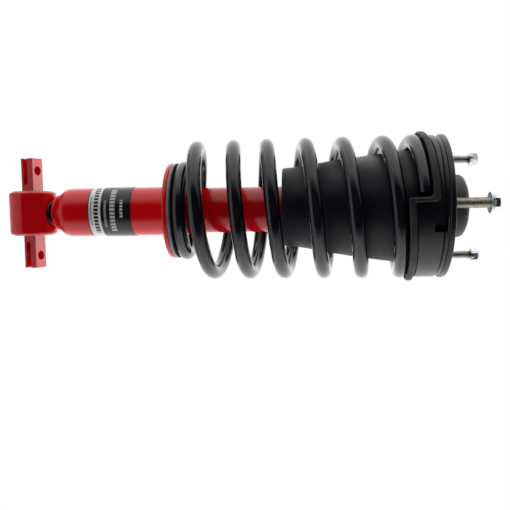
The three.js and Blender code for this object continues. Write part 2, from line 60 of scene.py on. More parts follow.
CAMERA_PLACE = Vector((-3.9, -807.4, -159.1)) * MM
CAMERA_LENS = 46.0
LIES_ON_SIDE = Matrix(((0, -1, 0), (0, 0, -1), (1, 0, 0)))  # right is +Z, up is -X
CAMERA_YAW, CAMERA_PITCH, CAMERA_ROLL = 4.84, -4.28, -1.03  # degrees
bpy.ops.object.camera_add()
camera = bpy.context.object
turn = LIES_ON_SIDE
for angle, about in ((CAMERA_YAW, "Y"), (CAMERA_PITCH, "X"), (CAMERA_ROLL, "Z")):
    turn = turn @ Matrix.Rotation(math.radians(angle), 3, about)
camera.matrix_world = Matrix.Translation(CAMERA_PLACE) @ turn.to_4x4()
camera.data.lens = CAMERA_LENS
camera.data.clip_start = 0.01
scene.camera = camera


def shader_node(tree, kind, inputs=None, **options):
    """Adds a node, sets its options, and sets or links its inputs by name or number."""
    made = tree.nodes.new(kind)
    for option, value in options.items():
        setattr(made, option, value)
    for socket, value in (inputs or {}).items():
        if isinstance(value, bpy.types.NodeSocket):
            tree.links.new(value, made.inputs[socket])
        else:
            made.inputs[socket].default_value = value
    return made


# The tent's light by the cosine of the angle from straight ahead: -1 is behind the camera.
SLOT_LIGHT = 0.02
SLOT_EDGES = (-0.87, -0.50)
BACK_EDGES = (-0.50, 0.17)
BACK_GAIN = 0.45
END_EDGES = (0.60, 0.85)  # towards the strut's two ends the tent is dimmer
END_LIGHT = 0.35
scene.world = bpy.data.worlds.new("white_tent")
scene.world.use_nodes = True
tree = scene.world.node_tree
tree.nodes.clear()
direction = shader_node(tree, "ShaderNodeTexCoord").outputs["Generated"]
level = shader_node(
    tree, "ShaderNodeVectorMath", {0: direction, 1: (1, 1, 0)}, operation="MULTIPLY"
)
unit = shader_node(tree, "ShaderNodeVectorMath", {0: level.outputs[0]}, operation="NORMALIZE")
facing = shader_node(tree, "ShaderNodeSeparateXYZ", {0: unit.outputs[0]}).outputs["Y"]
slot = shader_node(
    tree,
    "ShaderNodeMapRange",
    {"Value": facing, 1: SLOT_EDGES[0], 2: SLOT_EDGES[1], 3: SLOT_LIGHT, 4: 1.0},
    interpolation_type="SMOOTHSTEP",
).outputs[0]
back = shader_node(
    tree,
    "ShaderNodeMapRange",
    {"Value": facing, 1: BACK_EDGES[0], 2: BACK_EDGES[1], 3: 0.0, 4: BACK_GAIN},
).outputs[0]
sides = shader_node(tree, "ShaderNodeMath", {0: slot, 1: back}, operation="ADD").outputs[0]
upwards = shader_node(tree, "ShaderNodeSeparateXYZ", {0: direction}).outputs["Z"]
endwards = shader_node(tree, "ShaderNodeMath", {0: upwards}, operation="ABSOLUTE").outputs[0]
ends = shader_node(
    tree,
    "ShaderNodeMapRange",
    {"Value": endwards, 1: END_EDGES[0], 2: END_EDGES[1], 3: 1.0, 4: END_LIGHT},
).outputs[0]
tent = shader_node(tree, "ShaderNodeMath", {0: sides, 1: ends}, operation="MULTIPLY").outputs[0]
lit = shader_node(tree, "ShaderNodeBackground", {"Strength": tent})
backdrop = shader_node(tree, "ShaderNodeBackground", {"Strength": 1.0})
for light in (lit, backdrop):
    light.inputs["Color"].default_value = (1, 1, 1, 1)
seen = shader_node(tree, "ShaderNodeLightPath").outputs["Is Camera Ray"]
mixed = shader_node(
    tree, "ShaderNodeMixShader", {0: seen, 1: lit.outputs[0], 2: backdrop.outputs[0]}
)
shader_node(tree, "ShaderNodeOutputWorld", {"Surface": mixed.outputs[0]})

FLOOR_Z = -2.5
FLOOR_SIZE = 5.0
bpy.ops.mesh.primitive_plane_add(size=FLOOR_SIZE, location=(0, 0, FLOOR_Z))
floor = bpy.context.object
floor.name = "floor"


def finish(name, color, roughness, metallic=0.0, even=None):
    """A material whose even values are set on the shader's own sockets."""
    made = bpy.data.materials.new(name)
    made.use_nodes = True
    shader = made.node_tree.nodes["Principled BSDF"]
    shader.inputs["Base Color"].default_value = (*color, 1)
    shader.inputs["Roughness"].default_value = roughness
    shader.inputs["Metallic"].default_value = metallic
    for socket, value in (even or {}).items():
        shader.inputs[socket].default_value = value
    return made


floor.data.materials.append(finish("pale_floor", (0.86, 0.86, 0.86), 0.9))

# --- Lower eye ----------------------------------------------------------------------------
# A short length of thick steel tube, turned with rounded ends and welded across the foot of
# the damper. It is powder coated red with everything else below the spring.


def mottled(material, other, scale, low, high, detail=4.0):
    """Lets a second colour through in soft patches, where the noise is between low and high."""
    tree = material.node_tree
    shader = tree.nodes["Principled BSDF"]
    place = shader_node(tree, "ShaderNodeTexCoord").outputs["Object"]
    patches = shader_node(
        tree, "ShaderNodeTexNoise", {"Vector": place, "Scale": scale, "Detail": detail}
    ).outputs[0]
    share = shader_node(
        tree, "ShaderNodeMapRange", {"Value": patches, 1: low, 2: high}
    ).outputs[0]
    mix = shader_node(tree, "ShaderNodeMix", {"Factor": share}, data_type="RGBA")
    before = shader.inputs["Base Color"]
    if before.is_linked:
        tree.links.new(before.links[0].from_socket, mix.inputs[6])
    else:
        mix.inputs[6].default_value = before.default_value
    mix.inputs[7].default_value = (*other, 1)
    tree.links.new(mix.outputs[2], before)
    return material


def uneven_gloss(material, low, high, scale):
    """Varies the roughness softly between two values."""
    tree = material.node_tree
    place = shader_node(tree, "ShaderNodeTexCoord").outputs["Object"]
    patches = shader_node(
        tree, "ShaderNodeTexNoise", {"Vector": place, "Scale": scale, "Detail": 3.0}
    ).outputs[0]
    spread = shader_node(
        tree, "ShaderNodeMapRange", {"Value": patches, 1: 0.3, 2: 0.7, 3: low, 4: high}
    ).outputs[0]
    tree.links.new(spread, tree.nodes["Principled BSDF"].inputs["Roughness"])
    return material


def grained(material, scale, depth, detail=2.0, stretch=(1, 1, 1)):
    """Adds a fine relief, depth in millimetres. stretch scales the pattern along each axis."""
    tree = material.node_tree
    place = shader_node(tree, "ShaderNodeTexCoord").outputs["Object"]
    mapped = shader_node(tree, "ShaderNodeMapping", {"Vector": place, "Scale": stretch})
    relief = shader_node(
        tree,
        "ShaderNodeTexNoise",
        {"Vector": mapped.outputs[0], "Scale": scale, "Detail": detail},
    ).outputs[0]
    shader = tree.nodes["Principled BSDF"]
    bump = shader_node(
        tree, "ShaderNodeBump", {"Height": relief, "Strength": 1.0, "Distance": depth * MM}
    )
    if shader.inputs["Normal"].is_linked:
        earlier = shader.inputs["Normal"].links[0].from_socket
        tree.links.new(earlier, bump.inputs["Normal"])
    tree.links.new(bump.outputs[0], shader.inputs["Normal"])
    return material


RED = (0.82, 0.0030, 0.008)
DEEP_RED = (0.70, 0.0021, 0.006)
red_paint = finish("red_powder_coat", RED, 0.13, even={"IOR": 1.5})
mottled(red_paint, DEEP_RED, scale=40, low=0.35, high=0.75)
uneven_gloss(red_paint, 0.10, 0.19, scale=60)
grained(red_paint, scale=420, depth=0.035)


def arc(radius, height, size, start, end, steps=6):
    """Points round a corner centred on (radius, height): 0 degrees is outwards, 90 is up."""
    angles = [math.radians(start + (end - start) * i / steps) for i in range(steps + 1)]
    return [(radius + size * math.cos(a), height + size * math.sin(a)) for a in angles]


def only(piece):
    """Makes one piece the selected and active one."""
    bpy.ops.object.select_all(action="DESELECT")
    piece.select_set(True)
    bpy.context.view_layer.objects.active = piece


def drawn_line(name, points, closed=False):
    """Draws a line of edges by extruding one point along the others."""
    bpy.ops.object.select_all(action="DESELECT")
    bpy.ops.mesh.primitive_plane_add(size=MM)
    piece = bpy.context.object
    piece.name = name
    bpy.ops.object.mode_set(mode="EDIT")
    bpy.ops.mesh.merge(type="CENTER")
    bpy.ops.transform.translate(value=points[0])
    ends = points[1:] + points[: 1 if closed else 0]
    for here, there in zip(points, ends):
        bpy.ops.mesh.extrude_vertices_move(TRANSFORM_OT_translate={"value": there - here})
    return piece


def turned(name, outline, axis="Z", centre=(0, 0, 0), steps=128, smooth=40):
    """Turns a piece on a lathe: spins a half section of (radius, height) points, which starts
    and ends on the axis or closes on itself."""
    along = Vector((1, 0, 0)) if axis == "X" else Vector((0, 0, 1))
    outwards = Vector((0, 0, 1)) if axis == "X" else Vector((1, 0, 0))
    middle = Vector(centre)
    points = [middle + (outwards * r + along * h) * MM for r, h in outline]
    on_axis = outline[0][0] == 0 and outline[-1][0] == 0
    piece = drawn_line(name, points, closed=not on_axis)
    bpy.ops.mesh.select_all(action="SELECT")
    bpy.ops.mesh.remove_doubles(threshold=0.002 * MM)
    bpy.ops.mesh.select_all(action="SELECT")
    bpy.ops.mesh.spin(steps=steps, angle=math.tau, center=middle, axis=along)
    bpy.ops.mesh.select_all(action="SELECT")
    bpy.ops.mesh.remove_doubles(threshold=0.002 * MM)
    bpy.ops.mesh.normals_make_consistent(inside=False)
    bpy.ops.object.mode_set(mode="OBJECT")
    bpy.ops.object.shade_smooth_by_angle(angle=math.radians(smooth))
    return piece


def fitted(piece, material, body, slot, *nodes):
    """Paints a finished piece, lets it ride on its body, and stands it in for CAD nodes."""
    piece.data.materials.clear()
    piece.data.materials.append(material)
    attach(piece, body)
    if nodes:
        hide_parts(*nodes)
    return piece


eye_low, eye_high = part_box("eye_ring")
eye_centre = (eye_low + eye_high) / 2
EYE_RADIUS = 28.8
EYE_BORE = 24.6
EYE_HALF = 26.7
EYE_ROUND = 3.2
EYE_CHAMFER = 0.8
eye = turned(
    "lower_eye",
    [
        (EYE_BORE, -EYE_HALF + EYE_CHAMFER),
        (EYE_BORE + EYE_CHAMFER, -EYE_HALF),
        *arc(EYE_RADIUS - EYE_ROUND, -EYE_HALF + EYE_ROUND, EYE_ROUND, -90, 0),
        *arc(EYE_RADIUS - EYE_ROUND, EYE_HALF - EYE_ROUND, EYE_ROUND, 0, 90),
        (EYE_BORE + EYE_CHAMFER, EYE_HALF),
        (EYE_BORE, EYE_HALF - EYE_CHAMFER),
    ],
    axis="X",
    centre=eye_centre,
)
fitted(eye, red_paint, "damper_tube", "red_paint", "eye_ring")

# --- Rubber bush in the eye ---------------------------------------------------------------
# A steel shell is pressed into the eye, and rubber is moulded between it and the bar pin.
# The rubber's ends are dished, so that it can twist without rubbing.
BUSH_SHELL_BORE = 22.6
BUSH_HALF = 27.7
steel = finish("oiled_steel", (0.33, 0.335, 0.34), 0.32, 1.0)
uneven_gloss(steel, 0.24, 0.42, scale=90)
grained(steel, scale=700, depth=0.02)
shell = turned(
    "eye_bush_sleeve",
    [
        (BUSH_SHELL_BORE, -BUSH_HALF + 0.4),
        (BUSH_SHELL_BORE + 0.4, -BUSH_HALF),
        (EYE_BORE - 0.7, -BUSH_HALF),
        (EYE_BORE - 0.3, -BUSH_HALF + 0.5),
        (EYE_BORE - 0.3, BUSH_HALF - 0.5),
        (EYE_BORE - 0.7, BUSH_HALF),
        (BUSH_SHELL_BORE + 0.4, BUSH_HALF),
        (BUSH_SHELL_BORE, BUSH_HALF - 0.4),
    ],
    axis="X",
    centre=eye_centre,
)
fitted(shell, steel, "damper_tube", "bare_steel", "bushing_sleeve")

RUBBER = (0.012, 0.012, 0.014)
rubber = finish("moulded_rubber", RUBBER, 0.55)
mottled(rubber, (0.035, 0.035, 0.036), scale=55, low=0.5, high=0.85)
uneven_gloss(rubber, 0.45, 0.7, scale=80)
grained(rubber, scale=900, depth=0.05)
PIN_NECK = 11.4
RUBBER_HALF = 26.2
RUBBER_DISH = 4.5


def dish(side):
    """One end of the rubber: a hollow between two thin lips."""
    inner, outer = PIN_NECK + 0.25, BUSH_SHELL_BORE - 0.2
    points = []
    steps = 10
    for i in range(steps + 1):
        across = i / steps
        depth = RUBBER_DISH * math.sin(math.pi * across) ** 0.8
        points.append((inner + (outer - inner) * across, side * (RUBBER_HALF - depth)))
    return points


bush = turned(
    "eye_bush_rubber", dish(-1) + dish(1)[::-1], axis="X", centre=eye_centre, smooth=60
)
fitted(bush, rubber, "damper_tube", "rubber", "bushing_rubber")

# --- Bar pin ------------------------------------------------------------------------------
# One forging: a round neck inside the rubber, and a square end each side. Each end is slotted
# from its tip and its front for a captive nut, and drilled down to the slot for a bolt.
PIN_LENGTH = 138.0
PIN_SQUARE = 18.0
PIN_FLAT = 41.5
PIN_TILT = 18.0  # degrees that the bolt holes lean from Z
PIN_BOLT_SPACING = 107.0
PIN_BOLT_HOLE = 11.5
PIN_SLOT = 6.4
PIN_SLOT_LENGTH = 30.0
PIN_SLOT_DEPTH = 14.0  # from the front face, so a thin web closes its back
PIN_SLOT_OFFSET = -2.8


def carved(piece, tool, operation="DIFFERENCE"):
    """Cuts a piece with a tool, joins them, or keeps what they share, and removes the tool."""
    only(piece)
    modifier = piece.modifiers.new("carve", "BOOLEAN")
    modifier.operation = operation
    modifier.object = tool
    modifier.solver = "EXACT"
    bpy.ops.object.modifier_apply(modifier=modifier.name)
    bpy.data.objects.remove(tool, do_unlink=True)
    return piece


def softened(piece, width, segments=3, angle=35):
    """Rounds the sharp edges of a piece."""
    only(piece)
    modifier = piece.modifiers.new("soften", "BEVEL")
    modifier.width = width * MM
    modifier.segments = segments
    modifier.limit_method = "ANGLE"
    modifier.angle_limit = math.radians(angle)
    bpy.ops.object.modifier_apply(modifier=modifier.name)
    bpy.ops.object.shade_smooth_by_angle(angle=math.radians(40))
    return piece


def flat_faced(piece, area):
    """Shades the faces above an area, in square millimetres, as flat."""
    for face in piece.data.polygons:
        face.use_smooth = face.use_smooth and face.area < area * MM**2
    return piece


def block(name, size, centre):
    """A cuboid of that size in millimetres, round a point in metres, with its place in its mesh."""
    bpy.ops.object.select_all(action="DESELECT")
    bpy.ops.mesh.primitive_cube_add(size=1, location=centre)
    piece = bpy.context.object
    piece.name = name
    piece.scale = Vector(size) * MM
    bpy.ops.object.transform_apply(location=True, rotation=True, scale=True)
    return piece


AXES = {
    "X": (Vector((1, 0, 0)), (0, math.pi / 2, 0)),
    "Y": (Vector((0, 1, 0)), (math.pi / 2, 0, 0)),
    "Z": (Vector((0, 0, 1)), (0, 0, 0)),
}


def rod(name, radius, low, high, centre=(0, 0, 0), sides=64, axis="Z"):
    """A round bar along an axis through a point, between two heights from that point."""
    bpy.ops.object.select_all(action="DESELECT")
    along, rotation = AXES[axis]
    bpy.ops.mesh.primitive_cylinder_add(
        vertices=sides,
        radius=radius * MM,
        depth=(high - low) * MM,
        location=Vector(centre) + along * (low + high) / 2 * MM,
        rotation=rotation,
    )
    piece = bpy.context.object
    piece.name = name
    bpy.ops.object.transform_apply(location=True, rotation=True, scale=True)
    return piece


neck_half = PIN_LENGTH / 2 - PIN_FLAT + 1
pin = rod("forged_bar_pin", PIN_NECK, -neck_half, neck_half, axis="X", sides=96)
for side in (-1, 1):
    middle = side * (PIN_LENGTH - PIN_FLAT) / 2
    flat = block("flat", (PIN_FLAT, PIN_SQUARE, PIN_SQUARE), (middle * MM, 0, 0))
    carved(pin, flat, "UNION")
for side in (-1, 1):
    hole_x = side * PIN_BOLT_SPACING / 2
    slot_x = side * (PIN_LENGTH / 2 - PIN_SLOT_LENGTH / 2 + 1)
    slot_y = PIN_SLOT_DEPTH - PIN_SQUARE
    slot_end = (side * (PIN_LENGTH / 2 - PIN_SLOT_LENGTH) * MM, slot_y * MM, PIN_SLOT_OFFSET * MM)
    carved(pin, rod("drill", PIN_BOLT_HOLE / 2, PIN_SLOT_OFFSET, 20, (hole_x * MM, 0, 0)))
    slot_size = (PIN_SLOT_LENGTH + 2, PIN_SQUARE, PIN_SLOT)
    carved(pin, block("mill", slot_size, (slot_x * MM, slot_y * MM, PIN_SLOT_OFFSET * MM)))
    half = PIN_SQUARE / 2
    carved(pin, rod("mill_end", PIN_SLOT / 2, -half, half, slot_end, axis="Y"))
only(pin)
bpy.ops.object.mode_set(mode="EDIT")
bpy.ops.mesh.select_all(action="SELECT")
bpy.ops.mesh.remove_doubles(threshold=0.02 * MM)
bpy.ops.mesh.dissolve_limited(angle_limit=math.radians(0.5))
bpy.ops.object.mode_set(mode="OBJECT")
softened(pin, 0.45, segments=3, angle=60)
flat_faced(pin, 2.0)
pin_paint = finish("red_on_forging", RED, 0.22, even={"IOR": 1.5})
mottled(pin_paint, DEEP_RED, scale=40, low=0.35, high=0.75)
pin.rotation_euler.x = math.radians(PIN_TILT)
pin.location = eye_centre
bpy.ops.object.transform_apply(location=True, rotation=True, scale=True)
fitted(pin, pin_paint, "bar_pin", "red_paint", "bar_pin")

# A soft lamp above and behind lights the drilled faces, and nothing else.
LAMP_PLACE = Vector((0, 220, -120)) * MM
bpy.ops.object.light_add(type="AREA", location=LAMP_PLACE)
lamp = bpy.context.object
lamp.rotation_euler = (eye_centre - LAMP_PLACE).to_track_quat("-Z", "X").to_euler()
lamp.data.shape = "RECTANGLE"
lamp.data.size = 0.5
lamp.data.size_y = 0.25
lamp.data.energy = 1.3
lamp.visible_camera = False
lit_by_lamp = bpy.data.collections.new("lit_by_lamp")
lit_by_lamp.objects.link(pin)
lamp.light_linking.receiver_collection = lit_by_lamp

# --- Neck and weld of the eye -------------------------------------------------------------
# A short waisted neck stands between the eye and the damper's foot, saddled to the eye, and a
# bead of weld runs round it at each end. The dark paint on the neck and eye's bead is painted
# shade.
BASE_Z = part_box("tube_base_cap")[0].z / MM
NECK_RADIUS = 13.6
NECK_WAIST = 5.5  # radius of the hollow round it
NECK_WAIST_Z = -482.6
NECK_FOOT = -491.0  # below the eye's top, which the saddle cuts away
neck = turned(
    "eye_neck",
    [
        (0, NECK_FOOT),
        (NECK_RADIUS + 3.0, NECK_FOOT),
        *arc(NECK_RADIUS + NECK_WAIST, NECK_WAIST_Z, NECK_WAIST, 225, 125),
        (NECK_RADIUS + 3.5, BASE_Z + 0.1),
        (0, BASE_Z + 0.1),
    ],
)
carved(neck, rod("saddle", EYE_RADIUS + 0.05, -60, 60, eye_centre, sides=160, axis="X"))
bpy.ops.object.shade_smooth_by_angle(angle=math.radians(40))
# Dark red with near-black patches: painted shade in the hollow between the eye and the damper's
# foot.
weld_shade_paint = finish("weld_paint_painted_shade", (0.20, 0.0025, 0.006), 0.22)
mottled(weld_shade_paint, (0.010, 0.0015, 0.006), scale=75, low=0.42, high=0.6)
grained(weld_shade_paint, scale=260, depth=0.15)
fitted(neck, weld_shade_paint, "damper_tube", "red_paint", "eye_weld_neck")

WELD_RING = 15.6
WELD_SIZE = 2.2
WELD_RIPPLES = 46
BEAD_RIPPLE = 0.03


def weld_bead(name, ring, size, height_at, ripples):
    """A ring of weld that follows a height round Z, with the ripples a moving arc leaves."""
    bpy.ops.object.select_all(action="DESELECT")
    bpy.ops.mesh.primitive_torus_add(
        major_radius=ring * MM, minor_radius=size * MM, major_segments=276, minor_segments=14
    )
    piece = bpy.context.object
    piece.name = name
    for vertex in piece.data.vertices:
        angle = math.atan2(vertex.co.y, vertex.co.x)
        core = Vector((math.cos(angle), math.sin(angle), 0)) * ring * MM
        wander = noise.noise(vertex.co * 60) * 0.25
        swell = 1 + BEAD_RIPPLE * math.sin(ripples * angle) + wander
        vertex.co = core + (vertex.co - core) * swell
        vertex.co.z += height_at(angle) * MM
    bpy.ops.object.shade_smooth()
    return piece


def eye_saddle(angle):
    """Height of the eye's round top at an angle round the neck."""
    across = WELD_RING * math.sin(angle)
    return eye_centre.z / MM + math.sqrt(EYE_RADIUS**2 - across**2) + 0.4


eye_weld = weld_bead("eye_weld", WELD_RING, WELD_SIZE, eye_saddle, WELD_RIPPLES)
# The eye's bead takes the same painted shade.
fitted(eye_weld, weld_shade_paint, "damper_tube", "red_paint")
FOOT_WELD_RING = 19.2
FOOT_WELD_SIZE = 2.4
foot_weld = weld_bead(
    "foot_weld", FOOT_WELD_RING, FOOT_WELD_SIZE, lambda angle: BASE_Z - 2.4, ripples=52
)
fitted(foot_weld, red_paint, "damper_tube", "red_paint")

# --- Foot of the damper -------------------------------------------------------------------
# A cup drawn from sheet closes the tube. Its edge is rolled in to a flat foot, and the seam
# with the tube is hidden under the paint.
BODY_RADIUS = 30.3
TUBE_WALL = 2.4
SEAM_Z = -456.0
BASE_INSIDE = -471.5


def between(values, place):
    """Reads a smooth curve through evenly spaced values, at a fractional place among them."""
    start = min(int(place), len(values) - 2)
    t = place - start
    a, b, c, d = (values[min(len(values) - 1, max(0, start + k))] for k in (-1, 0, 1, 2))
    return b + 0.5 * t * (c - a + t * (2 * a - 5 * b + 4 * c - d + t * (3 * b - a - 3 * c + d)))


def eased(points, steps=4):
    """Runs a smooth curve through a few (radius, height) points."""
    radii, heights = zip(*points)
    places = [i / steps for i in range((len(points) - 1) * steps + 1)]
    return [(between(radii, place), between(heights, place)) for place in places]


base_curve = eased(
    [
        (21.6, BASE_Z),
        (23.1, -473.3),
        (24.7, -470.9),
        (26.1, -468.7),
        (27.6, -466.5),
        (28.9, -464.0),
        (29.8, -461.0),
        (BODY_RADIUS - 0.1, SEAM_Z),
    ]
)
base = turned(
    "drawn_base_cap",
    [
        (0, BASE_Z),
        *base_curve,
        (BODY_RADIUS - TUBE_WALL, SEAM_Z),
        (26.4, -462),
        (23.4, -469),
        (21, BASE_INSIDE),
        (0, BASE_INSIDE),
    ],
    steps=160,
)
fitted(base, red_paint, "damper_tube", "red_paint", "tube_base_cap")

# --- Damper tube --------------------------------------------------------------------------
# A seamless tube, wider below the spring seat than above it. The seat rests on the shoulder.
UPPER_RADIUS = 27.9
SHOULDER_Z = -332.0
tube_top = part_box("outer_tube")[1].z / MM
body_tube = turned(
    "damper_body",
    [
        (BODY_RADIUS - TUBE_WALL, SEAM_Z),
        (BODY_RADIUS - 0.1, SEAM_Z),
        (BODY_RADIUS, SEAM_Z + 4),
        (BODY_RADIUS, SHOULDER_Z - 2.2),
        *arc(BODY_RADIUS - 2, SHOULDER_Z - 2, 2, 0, 90),
        (UPPER_RADIUS, SHOULDER_Z + 0.1),
        (UPPER_RADIUS, tube_top),
        (UPPER_RADIUS - TUBE_WALL, tube_top),
        (UPPER_RADIUS - TUBE_WALL, SHOULDER_Z - 6),
        (BODY_RADIUS - TUBE_WALL, SHOULDER_Z - 9),
    ],
    steps=160,
)
fitted(body_tube, red_paint, "damper_tube", "red_paint", "outer_tube")

# --- Label --------------------------------------------------------------------------------
# A printed film round the tube: a silver band and a wider black one. Plain rows of dashes
# stand where such a label has its print. Its edges lift a hair from the paint.
LABEL_RADIUS = 30.55
LABEL_THICKNESS = 0.22
LABEL_SPLIT = 0.300  # the silver band's share of the label's height
label_low, label_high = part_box("label_band")
label = turned(
    "body_label",
    [
        (LABEL_RADIUS, label_low.z / MM),
        (LABEL_RADIUS + LABEL_THICKNESS, label_low.z / MM),
        (LABEL_RADIUS + LABEL_THICKNESS, label_high.z / MM),
        (LABEL_RADIUS, label_high.z / MM),
    ],
    steps=160,
)
SILVER_FILM = (0.86, 0.87, 0.88)
BLACK_FILM = (0.010, 0.010, 0.011)
LABEL_SHADOW_LINE = (0.03, 0.03, 0.032)  # a painted shadow line along the film's lower edge, below the silver
LABEL_SHADOW_SHARE = 0.022  # the painted shadow line's share of the height
film = finish("printed_film", SILVER_FILM, 0.22)
tree = film.node_tree
place = shader_node(tree, "ShaderNodeTexCoord").outputs["Object"]
spot = shader_node(tree, "ShaderNodeSeparateXYZ", {0: place})
height = spot.outputs["Z"]
share = shader_node(
    tree, "ShaderNodeMapRange", {"Value": height, 1: label_low.z, 2: label_high.z}
).outputs[0]
bands = shader_node(tree, "ShaderNodeValToRGB", {0: share})
bands.color_ramp.interpolation = "CONSTANT"
bands.color_ramp.elements[1].position = LABEL_SPLIT
bands.color_ramp.elements[1].color = (*BLACK_FILM, 1)
# The ramp's first band is the painted shadow line along the film's lower edge.
bands.color_ramp.elements[0].color = (*LABEL_SHADOW_LINE, 1)
bands.color_ramp.elements.new(LABEL_SHADOW_SHARE).color = (*SILVER_FILM, 1)
DASH_ROWS = (
    # middle height, height, start and end round the tube from the front, pitch, shade
    (-425.0, 1.5, -21, 17, 1.7, 0.10),
    (-418.8, 5.6, -40, 29, 4.6, 0.02),
    (-407.5, 3.0, -15, 20, 2.4, 0.42),
    (-398.5, 6.4, -33, 27, 4.6, 0.62),
    (-387.4, 3.6, -15, 7, 4.2, 0.62),
)
DASH_SHARE = 0.72


def computed(tree, operation, *inputs):
    """One Math node's result."""
    return shader_node(
        tree, "ShaderNodeMath", dict(enumerate(inputs)), operation=operation
    ).outputs[0]


towards_front = computed(tree, "MULTIPLY", spot.outputs["Y"], -1.0)
turn_round = computed(tree, "ARCTAN2", spot.outputs["X"], towards_front)
run_round = computed(tree, "MULTIPLY", turn_round, LABEL_RADIUS)
film_color = bands.outputs[0]
for middle, tall, start, end, pitch, shade in DASH_ROWS:
    in_height = computed(tree, "COMPARE", height, middle * MM, tall / 2 * MM)
    in_row = computed(tree, "COMPARE", run_round, (start + end) / 2, (end - start) / 2)
    dash_place = computed(tree, "FRACT", computed(tree, "DIVIDE", run_round, pitch))
    dashed = computed(tree, "LESS_THAN", dash_place, DASH_SHARE)
    inked = computed(tree, "MULTIPLY", computed(tree, "MULTIPLY", in_height, in_row), dashed)
    ink_color = (shade, shade, shade, 1)
    ink = shader_node(
        tree, "ShaderNodeMix", {"Factor": inked, 6: film_color, 7: ink_color}, data_type="RGBA"
    )
    film_color = ink.outputs[2]
tree.links.new(film_color, tree.nodes["Principled BSDF"].inputs["Base Color"])
uneven_gloss(film, 0.16, 0.3, scale=45)
grained(film, scale=150, depth=0.03)
fitted(label, film, "damper_tube", "label_film", "label_band")

# --- Lower spring seat --------------------------------------------------------------------
# A pressed flange with a rolled rim and a short hub, slid down to the tube's shoulder and
# welded underneath.
SEAT_RADIUS = 59.0
SEAT_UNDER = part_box("lower_spring_seat")[0].z / MM
SEAT_TOP = SEAT_UNDER + 5.5
SEAT_HUB = 32.0
seat = turned(
    "spring_seat_flange",
    [
        (UPPER_RADIUS + 0.1, SEAT_UNDER - 0.2),
        (36.0, SEAT_UNDER - 0.2),
        (38.5, SEAT_UNDER + 0.5),
        (53.5, SEAT_UNDER + 0.5),
        (55.0, SEAT_UNDER + 0.1),
        *arc(SEAT_RADIUS - 2.6, SEAT_UNDER + 2.6, 2.6, -90, 0),
        *arc(SEAT_RADIUS - 1.4, SEAT_TOP - 1.4, 1.4, 0, 90),
        (SEAT_HUB + 3, SEAT_TOP),
        *arc(SEAT_HUB + 3, SEAT_TOP + 3, 3, 270, 180),
        (SEAT_HUB, SEAT_TOP + 12),
        *arc(SEAT_HUB - 2, SEAT_TOP + 13, 2, 0, 90, steps=4),
        (UPPER_RADIUS + 0.1, SEAT_TOP + 15),
    ],
    steps=160,
)
fitted(seat, red_paint, "damper_tube", "red_paint", "lower_spring_seat")
seat_weld = weld_bead(
    "seat_weld", BODY_RADIUS + 1.2, 2.4, lambda angle: SHOULDER_Z - 1.6, ripples=70
)
fitted(seat_weld, red_paint, "damper_tube", "red_paint", "seat_weld_bead")

# --- Shim and pad under the spring --------------------------------------------------------
# A shim moulded in grey plastic lies loose on the flange and sets the ride height. A rubber
# pad on it keeps the coil quiet.
shim_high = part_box("seat_shim_ring")[1]
pad_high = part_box("lower_spring_isolator")[1]


def flat_ring(name, inner, outer, low, high, edge):
    """A flat ring with a rounded outer edge."""
    return turned(
        name,
        [
            (inner, low),
            *arc(outer - edge, low + edge, edge, -90, 0),
            *arc(outer - edge, high - edge, edge, 0, 90),
            (inner, high),
        ],
        steps=160,
    )


shim_grey = finish("grey_moulding", (0.27, 0.275, 0.285), 0.36)
mottled(shim_grey, (0.16, 0.165, 0.17), scale=70, low=0.4, high=0.8)
grained(shim_grey, scale=600, depth=0.03)
shim = flat_ring("seat_shim", 35, 58.3, SEAT_TOP + 0.05, shim_high.z / MM, 1.0)
fitted(shim, shim_grey, "damper_tube", "shim_plastic", "seat_shim_ring")
pad = flat_ring("lower_pad", 36, 58.8, shim_high.z / MM + 0.1, pad_high.z / MM, 0.6)
fitted(pad, rubber, "damper_tube", "rubber", "lower_spring_isolator")

# --- Inside of the damper -----------------------------------------------------------------
# The rod, piston, valves, guide and seal are as they leave the machines: ground chrome,
# sintered iron, spring-steel discs and bronze. They only need their finishes.
chrome = finish("hard_chrome", (0.62, 0.63, 0.64), 0.08, 1.0)
uneven_gloss(chrome, 0.05, 0.14, scale=120)
grained(chrome, scale=90, depth=0.004, stretch=(1, 1, 40))
bronze = finish("sintered_bronze", (0.36, 0.23, 0.09), 0.42, 1.0)
mottled(bronze, (0.20, 0.13, 0.06), scale=260, low=0.35, high=0.7)
grained(bronze, scale=1400, depth=0.03)
iron = finish("sintered_iron", (0.19, 0.19, 0.195), 0.5, 1.0)
mottled(iron, (0.10, 0.10, 0.105), scale=300, low=0.35, high=0.7)
grained(iron, scale=1200, depth=0.05)
disc_steel = finish("blued_disc_steel", (0.22, 0.24, 0.28), 0.25, 1.0)
grained(disc_steel, scale=60, depth=0.01, stretch=(1, 1, 30))
for node_name, inner_finish in {
    "piston_rod": chrome,
    "piston": iron,
    "piston_band": bronze,
    "compression_discs": disc_steel,
    "rebound_discs": disc_steel,
    "piston_nut": steel,
    "rebound_stop": rubber,
    "pressure_tube": steel,
    "base_valve_body": iron,
    "base_valve_discs": disc_steel,
    "base_valve_rivet": steel,
    "rod_guide": iron,
    "guide_bushing": bronze,
    "rod_seal": rubber,
    "bumper_cup": steel,
    "mount_sleeve": steel,
    "lower_washer": steel,
    "upper_washer": steel,
    "rod_nut": steel,
    "lower_mount_bushing": rubber,
    "upper_mount_bushing": rubber,
}.items():
    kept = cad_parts[node_name]
    kept.data.materials.clear()
    kept.data.materials.append(inner_finish)

